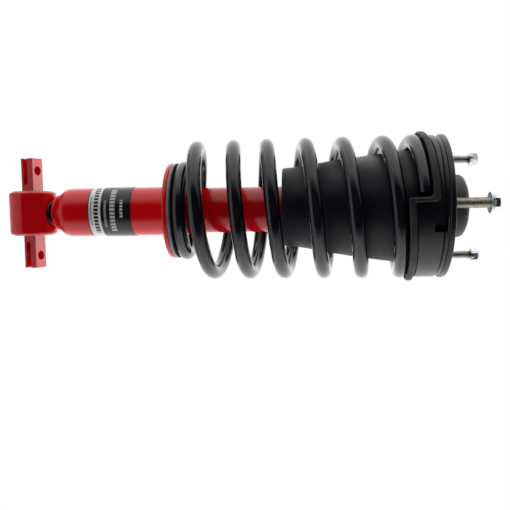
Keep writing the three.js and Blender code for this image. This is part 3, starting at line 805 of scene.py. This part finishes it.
# --- Strike cap ---------------------------------------------------------------------------
# A cap pressed from sheet steel and pushed over the tube's top, with a hole for the rod. The
# bump stop lands on it.
CAP_RADIUS = 30.2
cap_low, cap_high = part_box("strike_cap")
CAP_TOP = cap_high.z / MM
strike_cap = turned(
    "tube_strike_cap",
    [
        (UPPER_RADIUS + 0.3, cap_low.z / MM),
        *arc(CAP_RADIUS - 0.6, cap_low.z / MM + 0.6, 0.6, -90, 0, steps=3),
        *arc(CAP_RADIUS - 3, CAP_TOP - 3, 3, 0, 90),
        (14.0, CAP_TOP),
        (12.0, CAP_TOP - 1.0),
        (12.0, CAP_TOP - 2.5),
        (UPPER_RADIUS - 2.5, CAP_TOP - 2.5),
        (UPPER_RADIUS - 1.5, tube_top + 0.3),
        (UPPER_RADIUS + 0.3, tube_top + 0.3),
    ],
)
fitted(strike_cap, steel, "damper_tube", "bare_steel", "strike_cap")

# --- Coil spring --------------------------------------------------------------------------
# One length of round wire, wound hot, right-handed, and powder coated black. Its first turn
# is drawn in to a pigtail that lies flat on the lower pad, and its last lies in the helical
# upper seat. Turn 0 is at -X.
WIRE = 17.5
WIRE_SIDES = 40
PIGTAIL_RADIUS = 52.4
COIL_RADII = (76.9, 78.1)  # of the wire's centre, at the first full turn and at the last
FIRST_TURN, FULL_TURN, LAST_TURN = -0.35, 1.0, 7.22
OPENING = (0.5, 1.05)  # turns over which the pigtail opens out
LIFT_TURN = 0.62
SEATED_TURN = 6.35
LIFT_SLOPE = 38.0  # millimetres a turn, at the first full turn
# Heights of the wire's centre at each half turn from the first full one. The pitch isn't even.
COIL_HEIGHTS = (
    *(-295.8, -276.2, -251.6, -232.0, -211.1, -189.0, -164.4),
    *(-141.1, -120.2, -95.7, -72.3, -49.1, -27.0, -5.0),
)
STEPS_PER_TURN = 72

# The helical edge of the upper seat, which the last turn follows.
STEP_TURN = 7.2306
EDGE_HIGH = -15.6
EDGE_DROP = 27.0  # in one turn
UPPER_PAD = 6.7  # over the coil, which beds in the pad's lip
SEAT_GAP = 0.1
SEAT_EASE = 2.0  # height over which the coil eases into the seat


def smoothstep(value, low, high):
    """Rises smoothly from 0 at low to 1 at high."""
    t = min(1.0, max(0.0, (value - low) / (high - low)))
    return t * t * (3 - 2 * t)


def coil_radius(turn):
    """Radius of the wire's centre."""
    first, last = COIL_RADII
    wound = first + (last - first) * (turn - FULL_TURN) / (LAST_TURN - FULL_TURN)
    return PIGTAIL_RADIUS + (wound - PIGTAIL_RADIUS) * smoothstep(turn, *OPENING)


def coil_height(turn):
    """Height of the wire's centre."""
    resting = pad_high.z / MM + WIRE / 2 + 0.3
    if turn < FULL_TURN:
        t = max(0.0, turn - LIFT_TURN) / (FULL_TURN - LIFT_TURN)
        slope = LIFT_SLOPE * (FULL_TURN - LIFT_TURN)
        rise = (COIL_HEIGHTS[0] - resting) * t * t * (3 - 2 * t)
        return resting + rise + slope * t * t * (t - 1)
    free = between(COIL_HEIGHTS, 2 * (turn - FULL_TURN))
    edge = EDGE_HIGH - EDGE_DROP * (STEP_TURN - turn)
    seated = edge - UPPER_PAD - WIRE / 2 - SEAT_GAP
    if turn < SEATED_TURN:
        return free
    near = max(0.0, SEAT_EASE - abs(free - seated)) / SEAT_EASE
    return min(free, seated) - near * near * SEAT_EASE / 4


def spring_line():
    """The wire's centre, from the pigtail's end to the last turn's."""
    count = round((LAST_TURN - FIRST_TURN) * STEPS_PER_TURN)
    for i in range(count + 1):
        turn = FIRST_TURN + (LAST_TURN - FIRST_TURN) * i / count
        angle = math.pi + turn * math.tau
        radius = coil_radius(turn)
        yield Vector((radius * math.cos(angle), radius * math.sin(angle), coil_height(turn))) * MM


bpy.ops.object.select_all(action="DESELECT")
bpy.ops.curve.primitive_nurbs_path_add()
spring = bpy.context.object
spring.name = "spring_wire"
path = spring.data
path.splines.clear()
line = path.splines.new("POLY")
centres = list(spring_line())
line.points.add(len(centres) - 1)
for point, centre in zip(line.points, centres):
    point.co = (*centre, 1)
path.bevel_depth = WIRE / 2 * MM
path.bevel_resolution = WIRE_SIDES // 4 - 1
path.use_fill_caps = True
bpy.ops.object.convert(target="MESH")
bpy.ops.object.mode_set(mode="EDIT")
bpy.ops.mesh.select_all(action="SELECT")
bpy.ops.mesh.remove_doubles(threshold=0.002 * MM)
bpy.ops.mesh.normals_make_consistent(inside=False)
bpy.ops.object.mode_set(mode="OBJECT")
softened(spring, 1.1, segments=3, angle=60)
spring_black = finish("spring_powder_coat", (0.0034, 0.0038, 0.0100), 0.14, even={"IOR": 1.6})
mottled(spring_black, (0.009, 0.009, 0.015), scale=35, low=0.4, high=0.8)
uneven_gloss(spring_black, 0.10, 0.2, scale=50)
grained(spring_black, scale=260, depth=0.06)
fitted(spring, spring_black, "top_mount", "spring_coat", "coil_spring")
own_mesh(spring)

# --- Bump stop ----------------------------------------------------------------------------
# Three rolls of microcellular foam on the rod, held in a steel cup under the mount. It is
# squeezed when the strut closes.
bumper_low, bumper_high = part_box("jounce_bumper")
BUMPER_TOP = bumper_high.z / MM
BUMPER_BORE = 10.5
ROLL = 17.0  # height of each
ROLLS = 3
roll_outline = []
for roll in range(ROLLS):
    top = BUMPER_TOP - roll * ROLL
    roll_outline += [(20.0, top), *arc(19.5, top - ROLL / 2, 6.2, 65, -65, steps=8)]
bump_stop = turned(
    "bump_stop",
    [
        (BUMPER_BORE, BUMPER_TOP),
        *roll_outline,
        (19.0, BUMPER_TOP - ROLLS * ROLL),
        (17.5, bumper_low.z / MM + 3),
        (14.5, bumper_low.z / MM),
        (BUMPER_BORE, bumper_low.z / MM),
    ],
    steps=96,
)
foam = finish("microcellular_foam", (0.055, 0.05, 0.038), 0.85)
mottled(foam, (0.09, 0.08, 0.06), scale=120, low=0.4, high=0.7)
grained(foam, scale=1500, depth=0.12)
fitted(bump_stop, foam, "top_mount", "bump_foam", "jounce_bumper")
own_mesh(bump_stop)

# --- Dust boot ----------------------------------------------------------------------------
# A cone of matt rubber that hangs from the mount inside the spring and keeps grit off the
# rod. It is moulded a little out of true, and has picked up some dust in handling.
boot_low, boot_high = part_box("dust_boot")
BOOT_WALL = 2.2
BOOT_TOP = boot_high.z / MM
BOOT_FOOT = boot_low.z / MM
boot_curve = eased(
    [
        (47.6, BOOT_FOOT + 1.2),
        (48.2, BOOT_FOOT + 6),
        (49.4, -172),
        (52.2, -155),
        (55.4, -138),
        (58.4, -118),
        (61.4, -98),
        (65.0, -70),
        (67.1, -54),
        (68.1, -42),
        (68.3, BOOT_TOP),
    ],
    steps=5,
)
boot = turned(
    "boot_sleeve",
    [(46.4, BOOT_FOOT), (47.2, BOOT_FOOT + 0.3), *boot_curve]
    + [(r - BOOT_WALL, z) for r, z in boot_curve[::-1]],
    steps=144,
)
BOOT_WAVER = 0.45
BOOT_LEAN = 2.0  # towards -X at its foot
for vertex in boot.data.vertices:
    outwards = Vector((vertex.co.x, vertex.co.y, 0)).normalized()
    hang = smoothstep(-vertex.co.z / MM, 60, 120)
    waver = noise.noise(Vector((outwards.x, outwards.y, vertex.co.z * 18)) * 1.6)
    vertex.co += outwards * waver * hang * BOOT_WAVER * MM
    vertex.co.x -= smoothstep(-vertex.co.z / MM, 60, 190) * BOOT_LEAN * MM
BOOT_BLACK = (0.0035, 0.0035, 0.0105)
boot_rubber = finish("boot_rubber", BOOT_BLACK, 0.5, even={"Specular IOR Level": 0.38})
mottled(boot_rubber, (0.020, 0.020, 0.028), scale=16, low=0.56, high=0.85, detail=6)
mottled(boot_rubber, (0.050, 0.048, 0.046), scale=90, low=0.66, high=0.9, detail=8)
uneven_gloss(boot_rubber, 0.4, 0.68, scale=22)
grained(boot_rubber, scale=1100, depth=0.04)
grained(boot_rubber, scale=30, depth=0.35)
fitted(boot, boot_rubber, "top_mount", "rubber", "dust_boot")

# --- Helical upper pad --------------------------------------------------------------------
# A rubber pad between the spring and its upper seat. Its lip stands out round the coil, and
# the whole pad drops by one step as it runs round, like the spring.
SEAT_BORE = 69.3
LIP_RADIUS = 90.0
LIP_DEPTH = 9.0
LIP_TOP = 1.5  # below the edge
WALL_EDGE = 1.0  # above it
STEP_ANGLES = (-96.8, -92.0)  # where the step is, at the lip's underside and the wall's edge
STEP_RADIUS = 86.0
STEP_CORNER = 6.5  # rounding of the high corner
STEP_FILLET = 2.0  # and of the low one


def stepped(run):
    """How far the step has dropped the seat, by the distance run round from it."""
    if run < 0:
        return STEP_CORNER - math.sqrt(STEP_CORNER**2 - max(0.0, run + STEP_CORNER) ** 2)
    return EDGE_DROP - STEP_FILLET + math.sqrt(STEP_FILLET**2 - max(0.0, STEP_FILLET - run) ** 2)


def wound_down(piece, full_below, none_above):
    """Lowers a ring drawn at the seat's high side by the helix, with one step. Heights above
    none_above stay level."""
    first, last = STEP_ANGLES
    for vertex in piece.data.vertices:
        z = vertex.co.z / MM
        share = min(1.0, max(0.0, (none_above - z) / (none_above - full_below)))
        up = (z - EDGE_HIGH + LIP_DEPTH) / (LIP_DEPTH + WALL_EDGE)
        step_angle = first + (last - first) * min(1.0, max(0.0, up))
        angle = math.degrees(math.atan2(vertex.co.y, vertex.co.x))
        past = (angle - step_angle + 180) % 360 - 180
        drop = stepped(math.radians(past) * STEP_RADIUS) - EDGE_DROP * past / 360
        vertex.co.z -= share * drop * MM
    only(piece)
    bpy.ops.object.shade_smooth_by_angle(angle=math.radians(50))


PAD_UNDER = EDGE_HIGH - UPPER_PAD
LIP_UNDER = EDGE_HIGH - LIP_DEPTH
LIP_INNER = 86.6
RING_STEPS = 720
upper_pad = turned(
    "upper_pad",
    [
        (SEAT_BORE, EDGE_HIGH + WALL_EDGE - 0.1),
        (SEAT_BORE, PAD_UNDER),
        (LIP_INNER - 0.6, PAD_UNDER),
        (LIP_INNER, PAD_UNDER - 0.6),
        (LIP_INNER + 0.2, LIP_UNDER + 0.6),
        *arc(LIP_RADIUS - 2.6, LIP_UNDER + 2.4, 2.4, -100, 0, steps=6),
        *arc(LIP_RADIUS - 2.6, EDGE_HIGH - LIP_TOP - 2.4, 2.4, 0, 95, steps=6),
        (84.4, EDGE_HIGH - LIP_TOP),
        (84.0, EDGE_HIGH - LIP_TOP + 0.4),
        (84.0, EDGE_HIGH + WALL_EDGE - 0.1),
    ],
    steps=RING_STEPS,
)
wound_down(upper_pad, EDGE_HIGH + WALL_EDGE, -5.0)
fitted(upper_pad, rubber, "top_mount", "rubber", "upper_spring_isolator")

# --- Upper seat wall ----------------------------------------------------------------------
# The pressed wall under the top plate. Its edge follows the pad, it turns in to the plate in a
# cove, and a drain window stands below the step. It is dipped in satin black primer.
WALL_RADIUS = 85.2
COVE_RADIUS = 82.2
COVE_Z = -13.3
PLATE_UNDER = -6.6
black_primer = finish("satin_black_primer", (0.0038, 0.0036, 0.0090), 0.3)
mottled(black_primer, (0.009, 0.009, 0.014), scale=45, low=0.45, high=0.85)
uneven_gloss(black_primer, 0.24, 0.42, scale=40)
grained(black_primer, scale=500, depth=0.05)
seat_wall = turned(
    "upper_seat_wall",
    [
        (SEAT_BORE, EDGE_HIGH + WALL_EDGE),
        (WALL_RADIUS - 0.5, EDGE_HIGH + WALL_EDGE),
        (WALL_RADIUS, EDGE_HIGH + WALL_EDGE + 0.5),
        (WALL_RADIUS, COVE_Z),
        *arc(WALL_RADIUS - 1.2, COVE_Z, 1.2, 15, 75, steps=3),
        (COVE_RADIUS + 0.3, COVE_Z + 3.0),
        (COVE_RADIUS, COVE_Z + 5.0),
        (COVE_RADIUS + 1.0, PLATE_UNDER),
        (SEAT_BORE, PLATE_UNDER),
    ],
    steps=RING_STEPS,
)
wound_down(seat_wall, EDGE_HIGH + WALL_EDGE + 0.5, COVE_Z)
WINDOW_ANGLE = math.radians(-76.5)
WINDOW_SIZE = (20, 17, 14.8)
WINDOW_Z = -15.4
window = block("window", WINDOW_SIZE, (0, 0, 0))
window.rotation_euler.z = WINDOW_ANGLE
window.location = (
    WALL_RADIUS * MM * math.cos(WINDOW_ANGLE),
    WALL_RADIUS * MM * math.sin(WINDOW_ANGLE),
    WINDOW_Z * MM,
)
bpy.ops.object.transform_apply(location=True, rotation=True, scale=True)
carved(seat_wall, window)
bpy.ops.object.shade_smooth_by_angle(angle=math.radians(50))
fitted(seat_wall, black_primer, "top_mount", "black_paint", "spring_seat_housing")

# --- Top plate ----------------------------------------------------------------------------
# The flat plate that seats against the vehicle. Its rim is rolled, its middle is dished for
# the cover, and the studs are pressed up through it.
PLATE_RADIUS = 86.0
plate = turned(
    "top_plate",
    [
        (17.0, PLATE_UNDER),
        (81.0, PLATE_UNDER),
        *arc(PLATE_RADIUS - 2.4, PLATE_UNDER + 2.4, 2.4, -90, 0),
        *arc(PLATE_RADIUS - 1.8, -1.8, 1.8, 0, 90),
        (43.4, 0),
        (42.6, -0.6),
        (42.2, -1.2),
        (17.0, -1.2),
    ],
    steps=200,
)
fitted(plate, black_primer, "top_mount", "black_paint", "mount_plate")

# --- Cover over the rod's nut -------------------------------------------------------------
# A moulded cap of grey-black rubber, grained by its mould, with a thin raised bead round its
# top.
cover_low, cover_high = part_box("mount_cover")
COVER_RADIUS = 37.7
COVER_TOP = cover_high.z / MM
COVER_FOOT = cover_low.z / MM
cover_curve = eased(
    [
        (COVER_RADIUS, COVER_FOOT + 2),
        (COVER_RADIUS, 10.0),
        (COVER_RADIUS, 17.0),
        (37.2, 20.0),
        (35.8, 22.4),
        (33.2, 24.4),
        (30.0, 25.5),
    ]
)
cover = turned(
    "nut_dome",
    [
        (34.7, COVER_FOOT),
        (COVER_RADIUS, COVER_FOOT),
        *cover_curve,
        *arc(28.6, COVER_TOP - 0.9, 0.9, -20, 150, steps=5),
        (27.0, COVER_TOP - 0.8),
        (0, COVER_TOP - 0.6),
        (0, COVER_TOP - 2.6),
        (29, COVER_TOP - 3.0),
        (33.5, 18.5),
        (34.7, 14),
    ],
    steps=160,
)
cover_rubber = finish("cover_rubber", (0.045, 0.045, 0.046), 0.5)
mottled(cover_rubber, (0.075, 0.075, 0.075), scale=150, low=0.4, high=0.75)
grained(cover_rubber, scale=520, depth=0.12)
fitted(cover, cover_rubber, "top_mount", "rubber", "mount_cover")

# --- Studs --------------------------------------------------------------------------------
# Three studs with rolled threads, pressed into the plate on one circle and plated with
# yellow zinc that has dulled. The front one is the thickest.
STUD_CIRCLE = 69.2
STUD_CLOCKING = -92.9
STUDS = (
    # name, degrees on from the front stud, thread, pitch
    ("front", 0, 12.0, 1.75),
    ("left", 120, 10.0, 1.5),
    ("right", 240, 10.0, 1.5),
)
THREAD_STEPS = 32
stud_zinc = finish("dull_yellow_zinc", (0.62, 0.60, 0.55), 0.4, 1.0)
mottled(stud_zinc, (0.45, 0.43, 0.36), scale=180, low=0.4, high=0.75)
uneven_gloss(stud_zinc, 0.32, 0.5, scale=200)


def stud_place(turned_on):
    """Where a stud stands on its circle, by degrees on from the front one."""
    angle = math.radians(STUD_CLOCKING + turned_on)
    return Vector((math.cos(angle), math.sin(angle), 0)) * STUD_CIRCLE * MM


def threaded(name, diameter, pitch, low, high, place):
    """A threaded bar: one tooth of the thread is drawn, wound up the bar, and cut square."""
    major = diameter / 2
    minor = major - 0.61 * pitch
    tooth = [(minor, 0), (major, 0.38), (major, 0.50), (minor, 0.88), (minor, 1.0)]
    turns = math.ceil((high - low) / pitch) + 2
    start = low - pitch
    piece = drawn_line(name, [Vector((r, 0, start + h * pitch)) * MM for r, h in tooth])
    bpy.ops.object.mode_set(mode="OBJECT")
    winding = piece.modifiers.new("thread", "SCREW")
    winding.screw_offset = pitch * MM
    winding.iterations = turns
    winding.steps = winding.render_steps = THREAD_STEPS
    winding.use_merge_vertices = True
    winding.merge_threshold = 0.002 * MM
    bpy.ops.object.modifier_apply(modifier=winding.name)
    bpy.ops.object.mode_set(mode="EDIT")
    for height, clears in ((low, "clear_inner"), (high, "clear_outer")):
        bpy.ops.mesh.select_all(action="SELECT")
        cut = {"plane_co": (0, 0, height * MM), "plane_no": (0, 0, 1), clears: True}
        bpy.ops.mesh.bisect(**cut, use_fill=True)
    bpy.ops.mesh.select_all(action="SELECT")
    bpy.ops.mesh.remove_doubles(threshold=0.002 * MM)
    bpy.ops.mesh.normals_make_consistent(inside=False)
    bpy.ops.object.mode_set(mode="OBJECT")
    piece.location = place
    bpy.ops.object.transform_apply(location=True, rotation=True, scale=True)
    bpy.ops.object.shade_smooth_by_angle(angle=math.radians(30))
    return piece


for stud_name, turned_on, thread, pitch in STUDS:
    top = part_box("stud_" + stud_name)[1].z / MM
    stud = threaded(
        "threaded_stud_" + stud_name, thread, pitch, -4.0, top, stud_place(turned_on)
    )
    fitted(stud, stud_zinc, "top_mount", "stud_zinc", "stud_" + stud_name)

# --- Flange nuts --------------------------------------------------------------------------
# Cold-formed hexagon nuts with a washer-like flange, run on to the stud ends for shipping.
# Their clear zinc is bright and bluish.
NUTS = (
    # name, degrees on from the front stud, turn of its flats, flats, flange, thread
    ("front", 0, 0, 17.0, 24.4, 12.0),
    ("left", 120, 14, 15.0, 20.0, 10.0),
    ("right", 240, 38, 15.0, 20.0, 10.0),
)
nut_zinc = finish("bright_clear_zinc", (0.70, 0.74, 0.80), 0.22, 1.0)
mottled(nut_zinc, (0.58, 0.62, 0.70), scale=160, low=0.35, high=0.75)
uneven_gloss(nut_zinc, 0.15, 0.32, scale=220)


def flange_nut(name, place, flats_turn, flats, flange, thread, low, high):
    """A hexagon with a chamfered crown, joined to a coned flange and bored for its thread."""
    corner = flats / math.sqrt(3)
    cone_top = low + 0.5 * (high - low)
    bpy.ops.object.select_all(action="DESELECT")
    bpy.ops.mesh.primitive_cylinder_add(
        vertices=6,
        radius=corner * MM,
        depth=(high - low - 0.5) * MM,
        location=(0, 0, (low + high + 0.5) / 2 * MM),
        rotation=(0, 0, math.radians(30 + flats_turn)),
    )
    nut = bpy.context.object
    nut.name = name
    bpy.ops.object.transform_apply(location=True, rotation=True, scale=True)
    crown = turned(
        "crown",
        [
            (0, low),
            (corner + 1, low),
            (corner + 0.1, high - 1.8),
            (flats / 2 - 0.6, high),
            (0, high),
        ],
        steps=96,
    )
    carved(nut, crown, "INTERSECT")
    skirt = turned(
        "skirt",
        [
            (0, low),
            (flange / 2 - 0.5, low),
            *arc(flange / 2 - 0.9, low + 0.9, 0.9, -60, 80, steps=5),
            (flange / 2 - 1.8, low + 2.3),
            (flats / 2 + 0.2, cone_top),
            (0, cone_top),
        ],
        steps=96,
    )
    carved(nut, skirt, "UNION")
    tap = turned(
        "tap",
        [
            (0, low - 1),
            (thread / 2 + 0.1, low - 1),
            (thread / 2 + 0.1, high - 1.3),
            (thread / 2 + 1.3, high + 0.2),
            (0, high + 0.2),
        ],
        steps=64,
    )
    carved(nut, tap)
    softened(nut, 0.35, segments=2, angle=32)
    flat_faced(nut, 6.0)
    nut.location = place
    bpy.ops.object.transform_apply(location=True, rotation=True, scale=True)
    return nut


for nut_name, turned_on, flats_turn, flats, flange, thread in NUTS:
    nut_low, nut_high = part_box("nut_" + nut_name)
    nut = flange_nut(
        "flange_nut_" + nut_name,
        stud_place(turned_on),
        flats_turn,
        flats,
        flange,
        thread,
        nut_low.z / MM,
        nut_high.z / MM,
    )
    fitted(nut, nut_zinc, "top_mount", "nut_zinc", "nut_" + nut_name)
